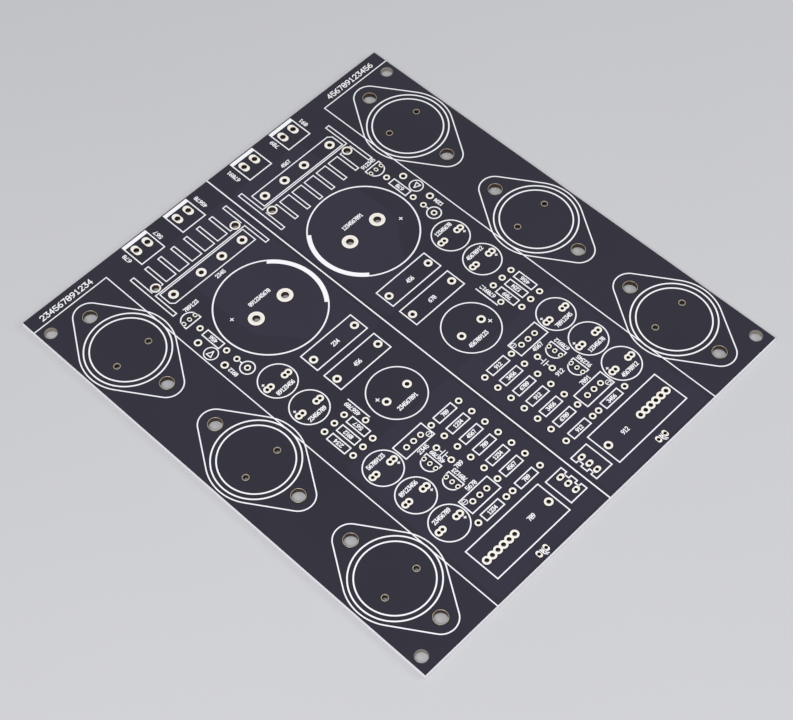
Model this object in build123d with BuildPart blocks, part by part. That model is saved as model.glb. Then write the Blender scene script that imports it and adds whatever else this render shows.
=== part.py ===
from build123d import *
import os
from math import asin, cos, degrees, radians, sin

# A two-channel amplifier circuit board, bare of components, lying with its printed face up.
# The origin is the middle of the underside. X runs along the terminal edge, Y points to it, Z is up.
# Places across the board are measured from its centre line or its long edge.
# Places along it are measured from the terminal edge on the power side, and from the opposite
# input edge on the signal side.
# The left channel's footprints are the model: on the right each is turned by half a turn.

# Board blank
board_width = 132.0
board_length = 146.0
board_thickness = 1.6

# Layers on the printed face
pad_height = 0.08
legend_height = 0.04
stroke = 0.3

# Corner screw holes, bare of plating
corner_hole = 3.5
corner_side_inset = 3.0
corner_terminal_inset = 8.0
corner_input_inset = 4.15

# Power transistors in diamond-shaped metal cans, three along each long edge
transistor_first = 26.5
transistor_last = 22.9
screw_spacing = 30.15
screw_hole = 3.8
can_pin_spacing = 10.92
can_pin_offset = 1.9
can_pin_hole = 1.5
flange_radius = 12.75
flange_end_radius = 4.5

# Lines that divide the board into channels and power strips, with the flanges' reach past a strip
strip_width = 25.0
strip_inset = 4.85
strip_overlap = 1.25

# Screw terminals, two to a channel
terminal_across = (12.5, 27.45)
terminal_along = 3.9
terminal_pitch = 3.96
terminal_hole = 1.6
terminal_pad_width = 2.35
terminal_pad_length = 3.7
terminal_pad_chamfer = 0.7
terminal_side_margin = 0.945
terminal_bar_gap = 0.45
terminal_bar_length = 1.0
terminal_inner_margin = 2.75

# Bridge rectifier clamped to a finned heat sink
heat_sink_across = 19.9
heat_sink_along = 18.75
heat_sink_pin_spacing = 29.0
heat_sink_pin_offset = 1.75
heat_sink_hole = 1.9
heat_sink_pad = 3.1
rectifier_offset = 3.25
rectifier_pitch = 7.5
rectifier_first_pitch = 10.0
rectifier_hole = 1.3
rectifier_pad = 3.0
rectifier_end_margin = 1.1
rectifier_side_margin = 1.0
rectifier_corner = 1.0
rectifier_band = 0.7

# Reservoir capacitor
reservoir_along = 43.6
reservoir_clearance = 2.05
reservoir_pitch = 10.5
reservoir_hole = 2.2
reservoir_pad = 4.6
reservoir_radius = 15.4
reservoir_mark_width = 1.2
reservoir_mark_start = -40.0
reservoir_mark_turn = 90.0

# Lead spacings and hole sizes that several kinds of part share
resistor_pitch = 10.16
lead_hole = 0.9
fine_hole = 0.7
stout_hole = 1.1

# Bias parts below the heat sink
bias_across = 35.0
sensor_along = 31.1
sensor_pitch = 2.0
bias_along = 40.25
meter_across = 38.5
meter_along = 43.25
upright_along = 51.2
upright_pitch = 4.0

# Film capacitors
film_across = 14.0
film_clearance = 1.7
film_step = 8.6
film_pitch = 15.0
film_end_margin = 1.65
film_box_length = 6.2

# Output coupling capacitor and the test pad beside it
coupling_across = 14.0
coupling_along = 59.5
coupling_pitch = 7.5
test_across = 25.4

# Small capacitors, drilled for two lead spacings
small_across = 32.45
small_along = (84.2, 72.6, 46.4, 35.1, 23.8)
small_pitch = 5.0
small_wide_pitch = 7.5

# Upright row of three resistors
trio_across = 31.5
trio_step = 3.5

# Trimmers, small transistors and a ceramic capacitor
trimmer_across = 21.5
trimmer_along = (46.4, 23.8)
trimmer_pitch = 2.54
driver_across = 23.5
driver_along = (38.9, 31.3)
ceramic_across = 19.0
ceramic_along = 38.35
ceramic_pitch = 5.08

# Ladder of signal resistors, with one more beside its last rung
ladder_across = 10.0
ladder_first = 46.4
ladder_step = 4.53
ladder_count = 6
last_rung = 18.7
spare_across = 22.45

# Input parts along the input edge
input_along = 10.2
input_across = 11.25
input_first_pitch = 12.5
input_step = 2.0
input_count = 6
input_end_margin = 1.85
input_box_length = 10.6
plug_across = 4.0
plug_pitch = 2.54
lamp_across = 22.5
lamp_along = 2.2
lamp_pitch = 2.54

# Lead holes, lands and printed curves have flat sides, which keeps so large a field light to draw
lead_sides = 6
land_sides = 8
ring_sides = 24
can_facets = 4
end_facets = 5

# Values that follow from the sizes above
terminal_edge = board_length / 2
input_edge = -board_length / 2
centre = board_width / 2
printed_face = Plane.XY.offset(board_thickness)
half_turn = 180.0


def both(across, along, holes=((0.0, 0.0),)):
    """Return the hole places of one footprint in both channels.

    The holes are given in the left footprint's own frame, and the right one is turned about.
    """
    left = [(x - across, y + along) for x, y in holes]
    right = [(across - x, along - y) for x, y in holes]
    return left + right


def row(count, pitch):
    """Return places spaced evenly along X about zero."""
    return [((i - (count - 1) / 2) * pitch, 0.0) for i in range(count)]


def column(count, pitch):
    """Return places spaced evenly along Y about zero."""
    return [(0.0, (i - (count - 1) / 2) * pitch) for i in range(count)]


def turned(across, along):
    """Return the left footprint's location, and the right one's turned by half a turn."""
    left = Location((-across, along, 0))
    right = Location((across, along, 0), (0, 0, half_turn))
    return [left, right]


def arc_corners(radius, start, turn, facets, height=0.0):
    """Return the corners of a faceted arc about a centre at the given height on the Y axis."""
    angles = [radians(start + turn * i / facets) for i in range(facets + 1)]
    return [(radius * cos(angle), height + radius * sin(angle)) for angle in angles]


# Hole places, footprint by footprint
corner_x = centre - corner_side_inset
corner_places = [
    (side * corner_x, y)
    for side in (-1, 1)
    for y in (terminal_edge - corner_terminal_inset, input_edge + corner_input_inset)
]

transistor_across = centre - strip_width - strip_overlap + flange_radius
first_transistor = terminal_edge - transistor_first
last_transistor = input_edge + transistor_last
transistor_rows = (first_transistor, (first_transistor + last_transistor) / 2, last_transistor)
transistor_screws = column(2, screw_spacing)
transistor_pins = [(x, -can_pin_offset) for x, y in row(2, can_pin_spacing)]
screw_places = [p for y in transistor_rows for p in both(transistor_across, y, transistor_screws)]
can_pin_places = [p for y in transistor_rows for p in both(transistor_across, y, transistor_pins)]

terminal_y = terminal_edge - terminal_along
terminal_places = [
    (side * across + x, terminal_y)
    for side in (-1, 1)
    for across in terminal_across
    for x, y in row(2, terminal_pitch)
]

heat_sink_y = terminal_edge - heat_sink_along
sink_pins = [(x, heat_sink_pin_offset) for x, y in row(2, heat_sink_pin_spacing)]
sink_places = both(heat_sink_across, heat_sink_y, sink_pins)
rectifier_length = rectifier_first_pitch + 2 * rectifier_pitch
rectifier_leads = [(i * rectifier_pitch, 0.0) for i in range(3)]
rectifier_leads = [(rectifier_length / 2 - x, -rectifier_offset) for x, y in rectifier_leads]
rectifier_leads.append((-rectifier_length / 2, -rectifier_offset))
rectifier_places = both(heat_sink_across, heat_sink_y, rectifier_leads)

reservoir_across = reservoir_radius + reservoir_clearance
reservoir_y = terminal_edge - reservoir_along
reservoir_places = both(reservoir_across, reservoir_y, row(2, reservoir_pitch))

sensor_places = both(bias_across, terminal_edge - sensor_along, row(3, sensor_pitch))
bias_places = both(bias_across, terminal_edge - bias_along, column(2, resistor_pitch))
meter_places = both(meter_across, terminal_edge - meter_along, column(2, resistor_pitch))
upright_places = both(bias_across, terminal_edge - upright_along, column(2, upright_pitch))

film_first = reservoir_along + reservoir_radius + film_clearance + film_box_length / 2
film_along = (film_first, film_first + film_step)
film_leads = row(2, film_pitch)
film_places = [p for y in film_along for p in both(film_across, terminal_edge - y, film_leads)]
coupling_y = input_edge + coupling_along
coupling_places = both(coupling_across, coupling_y, row(2, coupling_pitch))
test_places = both(test_across, coupling_y)
small_leads = row(2, small_pitch) + row(2, small_wide_pitch)
small_places = [p for y in small_along for p in both(small_across, input_edge + y, small_leads)]
trio_leads = [(i * trio_step, y) for i in (-1, 0, 1) for x, y in column(2, resistor_pitch)]
trio_places = both(trio_across, coupling_y, trio_leads)

trimmer_leads = row(3, trimmer_pitch)
trimmer_places = [p for y in trimmer_along for p in both(trimmer_across, input_edge + y, trimmer_leads)]
driver_leads = column(3, sensor_pitch)
driver_places = [p for y in driver_along for p in both(driver_across, input_edge + y, driver_leads)]
ceramic_places = both(ceramic_across, input_edge + ceramic_along, column(2, ceramic_pitch))

ladder_rows = [ladder_first - i * ladder_step for i in range(ladder_count)] + [last_rung]
resistor_leads = row(2, resistor_pitch)
ladder_places = [p for y in ladder_rows for p in both(ladder_across, input_edge + y, resistor_leads)]
spare_places = both(spare_across, input_edge + last_rung, resistor_leads)

input_y = input_edge + input_along
input_leads = [(0.0, 0.0)] + [(-input_first_pitch - i * input_step, 0.0) for i in range(input_count)]
input_places = both(input_across, input_y, input_leads)
plug_places = both(plug_across, input_y, column(3, plug_pitch))
lamp_places = both(lamp_across, input_edge + lamp_along, row(2, lamp_pitch))

round_holes = {corner_hole: corner_places, screw_hole: screw_places}
lead_holes = {
    can_pin_hole: can_pin_places,
    terminal_hole: terminal_places,
    heat_sink_hole: sink_places,
    rectifier_hole: rectifier_places,
    reservoir_hole: reservoir_places,
    stout_hole: meter_places + film_places + coupling_places + input_places,
    lead_hole: (
        bias_places + upright_places + test_places + small_places + trio_places + trimmer_places
        + ceramic_places + ladder_places + spare_places + plug_places + lamp_places
    ),
    fine_hole: sensor_places + driver_places,
}

# The board: one piece of laminate, drilled through
os.makedirs("parts", exist_ok=True)
with BuildPart() as board:
    with BuildSketch():
        Rectangle(board_width, board_length)
        for diameter, places in round_holes.items():
            with Locations(*places):
                Circle(diameter / 2, mode=Mode.SUBTRACT)
        for diameter, places in lead_holes.items():
            with Locations(*places):
                RegularPolygon(diameter / 2, lead_sides, major_radius=False, mode=Mode.SUBTRACT)
    extrude(amount=board_thickness)
board.part.label = "board"
export_step(board.part, "parts/board.step")

# Plated lands of the reservoir capacitors, the broadest on the board
with BuildPart() as reservoir_pads:
    with BuildSketch(printed_face):
        with Locations(*reservoir_places):
            RegularPolygon(reservoir_pad / 2, land_sides, major_radius=False)
            RegularPolygon(reservoir_hole / 2, lead_sides, major_radius=False, mode=Mode.SUBTRACT)
    extrude(amount=pad_height)
reservoir_pads.part.label = "reservoir_pads"
export_step(reservoir_pads.part, "parts/reservoir_pads.step")

# Plated lands of the bridge rectifiers
with BuildPart() as rectifier_pads:
    with BuildSketch(printed_face):
        with Locations(*rectifier_places):
            RegularPolygon(rectifier_pad / 2, land_sides, major_radius=False)
            RegularPolygon(rectifier_hole / 2, lead_sides, major_radius=False, mode=Mode.SUBTRACT)
    extrude(amount=pad_height)
rectifier_pads.part.label = "rectifier_pads"
export_step(rectifier_pads.part, "parts/rectifier_pads.step")

# Plated lands of the heat sinks' pins
with BuildPart() as heat_sink_pads:
    with BuildSketch(printed_face):
        with Locations(*sink_places):
            RegularPolygon(heat_sink_pad / 2, land_sides, major_radius=False)
            RegularPolygon(heat_sink_hole / 2, lead_sides, major_radius=False, mode=Mode.SUBTRACT)
    extrude(amount=pad_height)
heat_sink_pads.part.label = "heat_sink_pads"
export_step(heat_sink_pads.part, "parts/heat_sink_pads.step")

# Long plated lands of the screw terminals
with BuildSketch() as terminal_land:
    Rectangle(terminal_pad_width, terminal_pad_length)
    chamfer(terminal_land.vertices(), length=terminal_pad_chamfer)
    RegularPolygon(terminal_hole / 2, lead_sides, major_radius=False, mode=Mode.SUBTRACT)

with BuildPart() as terminal_pads:
    with BuildSketch(printed_face):
        with Locations(*terminal_places):
            add(terminal_land.sketch)
    extrude(amount=pad_height)
terminal_pads.part.label = "terminal_pads"
export_step(terminal_pads.part, "parts/terminal_pads.step")

# Printed outlines of the transistors' flanges: a line drawn round the can and both screws
screw_reach = screw_spacing / 2
slant = degrees(asin((flange_radius - flange_end_radius) / screw_reach))
can_rim = flange_radius + stroke / 2
end_rim = flange_end_radius + stroke / 2
with BuildSketch() as flange_print:
    Polygon(
        *arc_corners(can_rim, -slant, 2 * slant, can_facets),
        *arc_corners(end_rim, slant, half_turn - 2 * slant, end_facets, screw_reach),
        *arc_corners(can_rim, half_turn - slant, 2 * slant, can_facets),
        *arc_corners(end_rim, half_turn + slant, half_turn - 2 * slant, end_facets, -screw_reach),
        align=None,
    )
    offset(amount=-stroke, kind=Kind.INTERSECTION, mode=Mode.SUBTRACT)

flange_places = [p for y in transistor_rows for p in both(transistor_across, y)]
with BuildPart() as transistor_legend:
    with BuildSketch(printed_face):
        with Locations(*flange_places):
            add(flange_print.sketch)
    extrude(amount=legend_height)
transistor_legend.part.label = "transistor_legend"
export_step(transistor_legend.part, "parts/transistor_legend.step")

# Printed lines that part the channels and fence off each power strip, stopping at the flanges
strip_line = centre - strip_width
strip_length = board_length - strip_inset
with BuildPart() as division_legend:
    with BuildSketch(printed_face):
        Rectangle(stroke, board_length)
        for side in (-1, 1):
            with Locations((side * strip_line, input_edge)):
                Rectangle(stroke, strip_length + stroke / 2, align=(Align.CENTER, Align.MIN))
            with Locations((side * (centre - strip_width / 2), terminal_edge - strip_inset)):
                Rectangle(strip_width, stroke)
        with Locations(*flange_places):
            add(flange_print.sketch, mode=Mode.SUBTRACT)
    extrude(amount=legend_height)
division_legend.part.label = "division_legend"
export_step(division_legend.part, "parts/division_legend.step")

# Printed boxes of the screw terminals, each with a broad bar where its wires enter
terminal_box_width = terminal_pitch + terminal_pad_width + 2 * terminal_side_margin
terminal_outer = terminal_pad_length / 2 + terminal_bar_gap + terminal_bar_length
terminal_inner = terminal_pad_length / 2 + terminal_inner_margin
terminal_box_length = terminal_outer + terminal_inner
terminal_box_y = terminal_y + (terminal_outer - terminal_inner) / 2
terminal_bar_y = terminal_y + terminal_outer - terminal_bar_length / 2
with BuildPart() as terminal_legend:
    with BuildSketch(printed_face):
        for across in terminal_across:
            with Locations((-across, terminal_box_y), (across, terminal_box_y)):
                Rectangle(terminal_box_width + stroke, terminal_box_length + stroke)
                Rectangle(terminal_box_width - stroke, terminal_box_length - stroke, mode=Mode.SUBTRACT)
            with Locations((-across, terminal_bar_y), (across, terminal_bar_y)):
                Rectangle(terminal_box_width, terminal_bar_length)
    extrude(amount=legend_height)
terminal_legend.part.label = "terminal_legend"
export_step(terminal_legend.part, "parts/terminal_legend.step")

# Printed boxes of the bridge rectifiers: one corner cut off, and a band against the heat sink
rectifier_box_width = rectifier_length + rectifier_pad + 2 * rectifier_end_margin
rectifier_box_length = rectifier_pad + 2 * rectifier_side_margin
rectifier_half = rectifier_box_length / 2
with BuildSketch() as rectifier_print:
    with Locations((0, -rectifier_offset)):
        Rectangle(rectifier_box_width + stroke, rectifier_box_length + stroke)
    first_corner = rectifier_print.vertices().group_by(Axis.Y)[0].sort_by(Axis.X)[0]
    chamfer(first_corner, length=rectifier_corner)
    offset(amount=-stroke, kind=Kind.INTERSECTION, mode=Mode.SUBTRACT)
    with Locations((0, rectifier_half - stroke / 2 - rectifier_offset)):
        Rectangle(rectifier_box_width, rectifier_band, align=(Align.CENTER, Align.MIN))

with BuildPart() as rectifier_legend:
    with BuildSketch(printed_face):
        with Locations(*turned(heat_sink_across, heat_sink_y)):
            add(rectifier_print.sketch)
    extrude(amount=legend_height)
rectifier_legend.part.label = "rectifier_legend"
export_step(rectifier_legend.part, "parts/rectifier_legend.step")

# Printed rings of the reservoir capacitors, thickened on the side of the negative lead
ring_angle = 360 / ring_sides
mark_facets = round(reservoir_mark_turn / ring_angle)
mark_turn = mark_facets * ring_angle
mark_inside = reservoir_radius - reservoir_mark_width
with BuildSketch() as reservoir_print:
    RegularPolygon(reservoir_radius + stroke / 2, ring_sides, rotation=reservoir_mark_start)
    offset(amount=-stroke, kind=Kind.INTERSECTION, mode=Mode.SUBTRACT)
    Polygon(
        *arc_corners(reservoir_radius, reservoir_mark_start, mark_turn, mark_facets),
        *reversed(arc_corners(mark_inside, reservoir_mark_start, mark_turn, mark_facets)),
        align=None,
    )

with BuildPart() as reservoir_legend:
    with BuildSketch(printed_face):
        with Locations(*turned(reservoir_across, reservoir_y)):
            add(reservoir_print.sketch)
    extrude(amount=legend_height)
reservoir_legend.part.label = "reservoir_legend"
export_step(reservoir_legend.part, "parts/reservoir_legend.step")

# Printed boxes of the film capacitors and of the input capacitors
film_box_width = film_pitch + 2 * film_end_margin
film_box_places = [p for y in film_along for p in both(film_across, terminal_edge - y)]
input_longest = input_first_pitch + (input_count - 1) * input_step
input_box_width = input_longest + 2 * input_end_margin
input_box_places = both(input_across + input_longest / 2, input_y)
with BuildPart() as film_legend:
    with BuildSketch(printed_face):
        with Locations(*film_box_places):
            Rectangle(film_box_width + stroke, film_box_length + stroke)
            Rectangle(film_box_width - stroke, film_box_length - stroke, mode=Mode.SUBTRACT)
        with Locations(*input_box_places):
            Rectangle(input_box_width + stroke, input_box_length + stroke)
            Rectangle(input_box_width - stroke, input_box_length - stroke, mode=Mode.SUBTRACT)
    extrude(amount=legend_height)
film_legend.part.label = "film_legend"
export_step(film_legend.part, "parts/film_legend.step")
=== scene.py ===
"""Dresses a bare two-channel amplifier circuit board in its lacquer, tinned lands and print.

Sizes are in millimetres in the board's own frame: X runs along the terminal edge, Y points to that
edge, and Z rises from the underside. Meshes are scaled to metres as they are made. The left
channel's footprints are the model, and most of the right channel's are the same turned about.
"""
import logging
import math
from abc import ABC, abstractmethod
from dataclasses import dataclass, field
from enum import Enum
from typing import Mapping, Sequence

import bmesh
import bpy
from mathutils import Matrix, Vector
from mathutils.geometry import delaunay_2d_cdt


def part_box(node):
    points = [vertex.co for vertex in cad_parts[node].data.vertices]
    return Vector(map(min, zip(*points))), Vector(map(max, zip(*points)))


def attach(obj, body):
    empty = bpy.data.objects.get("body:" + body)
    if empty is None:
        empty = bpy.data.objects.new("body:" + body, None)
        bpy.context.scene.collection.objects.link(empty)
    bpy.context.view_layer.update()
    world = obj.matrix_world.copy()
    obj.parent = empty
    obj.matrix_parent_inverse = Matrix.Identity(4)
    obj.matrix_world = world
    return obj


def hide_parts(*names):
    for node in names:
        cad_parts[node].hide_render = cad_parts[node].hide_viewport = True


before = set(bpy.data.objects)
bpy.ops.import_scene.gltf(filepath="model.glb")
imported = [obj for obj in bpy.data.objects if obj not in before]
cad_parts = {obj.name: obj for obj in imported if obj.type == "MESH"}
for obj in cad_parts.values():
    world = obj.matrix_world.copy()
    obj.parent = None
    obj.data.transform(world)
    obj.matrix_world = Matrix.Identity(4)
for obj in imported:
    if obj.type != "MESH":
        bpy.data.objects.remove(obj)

LOG = logging.getLogger("amplifier_board")
MM = 0.001
Pair = tuple[float, float]
Point = tuple[float, float]
Outline = Sequence[Point]
Disc = tuple[float, float, float]
Colour = tuple[float, float, float, float]


class Side(Enum):
    """The side of the centre line on which a channel lies."""

    LEFT = -1
    RIGHT = 1


class Reading(Enum):
    """The way a printed number runs, as its turn in degrees."""

    ACROSS = 0
    UPWARD = 90


# Shader building


class Term:
    """A shader value that takes part in sums and products."""

    def __init__(self, graph: "Graph", socket: bpy.types.NodeSocket) -> None:
        """Hold a node's output.

        Args:
            graph: The node tree that the output belongs to.
            socket: The output.
        """
        self.graph = graph
        self.socket = socket

    def _with(self, operation: str, first: "Term | float", second: "Term | float") -> "Term":
        """Add a Math node.

        Args:
            operation: The node's operation.
            first: Its first value.
            second: Its second value.

        Returns:
            The node's result.
        """
        made = self.graph.node("ShaderNodeMath", {"operation": operation}, {0: first, 1: second})
        return Term(self.graph, made.outputs[0])

    def __add__(self, other: "Term | float") -> "Term":
        """Return the sum."""
        return self._with("ADD", self, other)

    def __radd__(self, other: float) -> "Term":
        """Return the sum, with the number first."""
        return self._with("ADD", other, self)

    def __sub__(self, other: "Term | float") -> "Term":
        """Return the difference."""
        return self._with("SUBTRACT", self, other)

    def __rsub__(self, other: float) -> "Term":
        """Return the difference, with the number first."""
        return self._with("SUBTRACT", other, self)

    def __mul__(self, other: "Term | float") -> "Term":
        """Return the product."""
        return self._with("MULTIPLY", self, other)

    def __rmul__(self, other: float) -> "Term":
        """Return the product, with the number first."""
        return self._with("MULTIPLY", other, self)

    def sine(self) -> "Term":
        """Return the sine, for a value in radians."""
        return self._with("SINE", self, 0.0)


class Graph:
    """The node tree of one finish."""

    def __init__(self, name: str) -> None:
        """Start a material.

        Args:
            name: The material's name.
        """
        self.material = bpy.data.materials.new(name)
        self.material.use_nodes = True
        self.tree = self.material.node_tree
        self.shader = self.tree.nodes["Principled BSDF"]

    def node(
        self,
        kind: str,
        settings: Mapping[str, object] | None = None,
        inputs: Mapping[int | str, object] | None = None,
    ) -> bpy.types.Node:
        """Add a node.

        Args:
            kind: The node's type.
            settings: Its own settings, which are set first.
            inputs: Values or terms for its sockets, by name or index.

        Returns:
            The node.
        """
        made = self.tree.nodes.new(kind)
        for name, value in (settings or {}).items():
            setattr(made, name, value)
        for key, value in (inputs or {}).items():
            self.join(made.inputs[key], value)
        return made

    def join(self, socket: bpy.types.NodeSocket, value: object) -> None:
        """Link a term to a socket, or set the socket's own value.

        Args:
            socket: The socket to feed.
            value: A term, a number or a colour.
        """
        if isinstance(value, Term):
            self.tree.links.new(value.socket, socket)
        else:
            socket.default_value = value

    def finish(self, **values: object) -> bpy.types.Material:
        """Feed the surface shader and close the material.

        Args:
            **values: Values or terms by socket name, with underscores for spaces.

        Returns:
            The material.
        """
        for name, value in values.items():
            self.join(self.shader.inputs[name.replace("_", " ").title().replace("Ior", "IOR")], value)
        return self.material

    def place(self) -> Term:
        """Return the surface's place on the board, in millimetres."""
        where = self.node("ShaderNodeTexCoord")
        held = Term(self, where.outputs["Object"])
        scaled = self.node("ShaderNodeVectorMath", {"operation": "SCALE"}, {0: held, "Scale": 1 / MM})
        return Term(self, scaled.outputs[0])

    def axes(self, place: Term) -> tuple[Term, Term, Term]:
        """Return the three coordinates of a place.

        Args:
            place: The place.

        Returns:
            Its X, Y and Z.
        """
        parted = self.node("ShaderNodeSeparateXYZ", inputs={0: place})
        return tuple(Term(self, output) for output in parted.outputs)

    def noise(self, place: Term, pitch: float, detail: float = 2.0) -> Term:
        """Return a soft random value about 0.5.

        Args:
            place: The place, in millimetres.
            pitch: The size of its patches, in millimetres.
            detail: How many finer layers it has.

        Returns:
            The value, from 0 to 1.
        """
        inputs = {"Vector": place, "Scale": 1 / pitch, "Detail": detail}
        return Term(self, self.node("ShaderNodeTexNoise", inputs=inputs).outputs[0])

    def blend(self, share: Term | float, first: Colour, second: Colour | Term) -> Term:
        """Return a colour between two.

        Args:
            share: How much of the second there is, from 0 to 1.
            first: The colour at 0.
            second: The colour at 1.

        Returns:
            The mixed colour.
        """
        settings = {"data_type": "RGBA", "clamp_factor": True}
        made = self.node("ShaderNodeMix", settings, {0: share, 6: first, 7: second})
        return Term(self, made.outputs[2])

    def relief(self, height: Term, depth: float, strength: float) -> Term:
        """Return a normal for a fine relief.

        Args:
            height: The relief's height, from 0 to 1.
            depth: What a height of 1 stands for, in millimetres.
            strength: How strongly it shows.

        Returns:
            The normal.
        """
        inputs = {"Height": height, "Distance": depth * MM, "Strength": strength}
        return Term(self, self.node("ShaderNodeBump", inputs=inputs).outputs[0])


# Finishes


@dataclass(frozen=True)
class Coat:
    """A finish that varies with a broad and a fine noise, each given by its pitch and detail.

    Its tint says how far each noise moves the colour from the first to the second, and from what
    share. Its roughness is the middle value, then what each noise adds. Its relief is the height
    that each noise gives, then the depth in millimetres and the strength.
    """

    name: str
    first: Colour
    second: Colour
    broad: Pair
    fine: Pair
    tint: tuple[float, float, float]
    roughness: tuple[float, float, float]
    relief: tuple[float, float, float, float]
    metallic: float = 0.0
    specular: float = 0.5
    cloth: float = 0.0
    cloth_height: float = 0.1
    layer: float = 0.0
    layer_wander: float = 0.08
    slot: str = "solder_mask"

    def material(self) -> bpy.types.Material:
        """Build the finish.

        Returns:
            The material.
        """
        graph = Graph(self.name)
        place = graph.place()
        broad, fine = graph.noise(place, *self.broad), graph.noise(place, *self.fine)
        if self.layer:
            z = graph.axes(place)[2]
            broad = ((z + broad * self.layer_wander) * (math.tau / self.layer)).sine() * 0.5 + 0.5
        rough, rough_broad, rough_fine = self.roughness
        high_broad, high_fine, depth, strength = self.relief
        height = broad * high_broad + fine * high_fine
        if self.cloth:
            turns = math.tau / self.cloth
            x, y, _ = graph.axes(place)
            height = height + (x * turns).sine() * (y * turns).sine() * self.cloth_height
        tone = broad * self.tint[0] + fine * self.tint[1] + self.tint[2]
        return graph.finish(
            base_color=graph.blend(tone, self.first, self.second),
            metallic=self.metallic,
            roughness=rough + (fine - 0.5) * rough_fine + (broad - 0.5) * rough_broad,
            normal=graph.relief(height, depth, strength),
            specular_ior_level=self.specular,
        )


@dataclass(frozen=True)
class Lacquer(Coat):
    """Satin black solder lacquer, faintly violet, with the glass cloth just showing through."""

    name: str = "solder_lacquer"
    first: Colour = (0.0112, 0.0103, 0.0208, 1.0)
    second: Colour = (0.0188, 0.0173, 0.0332, 1.0)
    broad: Pair = (34.0, 3.0)
    fine: Pair = (0.55, 3.0)
    tint: tuple[float, float, float] = (0.75, 0.45, -0.1)
    roughness: tuple[float, float, float] = (0.34, 0.1, 0.16)
    relief: tuple[float, float, float, float] = (0.0, 0.8, 0.02, 0.35)
    specular: float = 0.42
    cloth: float = 0.42


@dataclass(frozen=True)
class Laminate(Coat):
    """The cut edge of glass-fibre laminate: pale, dusty and in thin layers."""

    name: str = "laminate_edge"
    first: Colour = (0.80, 0.79, 0.82, 1.0)
    second: Colour = (0.93, 0.93, 0.97, 1.0)
    broad: Pair = (3.0, 2.0)
    fine: Pair = (0.35, 4.0)
    tint: tuple[float, float, float] = (0.45, 0.7, 0.0)
    roughness: tuple[float, float, float] = (0.62, 0.0, 0.3)
    relief: tuple[float, float, float, float] = (0.45, 0.7, 0.03, 0.5)
    layer: float = 0.2


@dataclass(frozen=True)
class Tin(Coat):
    """Hot-laid tin on copper: pale, warm and softly uneven."""

    name: str = "tinned_land"
    first: Colour = (0.98, 0.945, 0.88, 1.0)
    second: Colour = (0.90, 0.85, 0.77, 1.0)
    broad: Pair = (0.9, 2.0)
    fine: Pair = (0.12, 3.0)
    tint: tuple[float, float, float] = (0.8, 0.25, -0.1)
    roughness: tuple[float, float, float] = (0.36, 0.12, 0.2)
    relief: tuple[float, float, float, float] = (0.8, 0.2, 0.02, 0.4)
    metallic: float = 0.2
    slot: str = "tinned_copper"


@dataclass(frozen=True)
class ShadedPlating(Coat):
    """The copper lining of a drilled hole: brown, streaked down the bore, and darkened towards black as
    painted shade inside the bore.
    """

    name: str = "hole_plating_and_shade"
    first: Colour = (0.17, 0.115, 0.085, 1.0)
    # Painted shade: this near-black colour stands for the shadow inside the bore.
    second: Colour = (0.03, 0.019, 0.015, 1.0)
    broad: Pair = (0.5, 2.0)
    fine: Pair = (0.1, 2.0)
    tint: tuple[float, float, float] = (1.1, 0.3, -0.2)
    roughness: tuple[float, float, float] = (0.38, 0.0, 0.3)
    relief: tuple[float, float, float, float] = (1.0, 0.0, 0.02, 0.5)
    metallic: float = 0.85
    slot: str = "tinned_copper"


@dataclass(frozen=True)
class Ink(Coat):
    """White printing ink, matt, a little thin in places."""

    name: str = "legend_ink"
    first: Colour = (0.93, 0.93, 0.95, 1.0)
    second: Colour = (0.80, 0.80, 0.83, 1.0)
    broad: Pair = (0.8, 3.0)
    fine: Pair = (0.1, 2.0)
    tint: tuple[float, float, float] = (0.6, 0.3, -0.15)
    roughness: tuple[float, float, float] = (0.5, 0.0, 0.2)
    relief: tuple[float, float, float, float] = (0.0, 1.0, 0.01, 0.3)
    slot: str = "white_ink"


@dataclass(frozen=True)
class Studio:
    """The plain pale floor's finish."""

    name: str = "studio_floor"
    colour: Colour = (0.56, 0.56, 0.575, 1.0)
    shade: Colour = (0.535, 0.535, 0.55, 1.0)
    cloud: float = 140.0
    roughness: float = 0.8

    def material(self) -> bpy.types.Material:
        """Build the finish.

        Returns:
            The material.
        """
        graph = Graph(self.name)
        tone = graph.noise(graph.place(), self.cloud)
        return graph.finish(base_color=graph.blend(tone, self.colour, self.shade), roughness=self.roughness)


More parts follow.
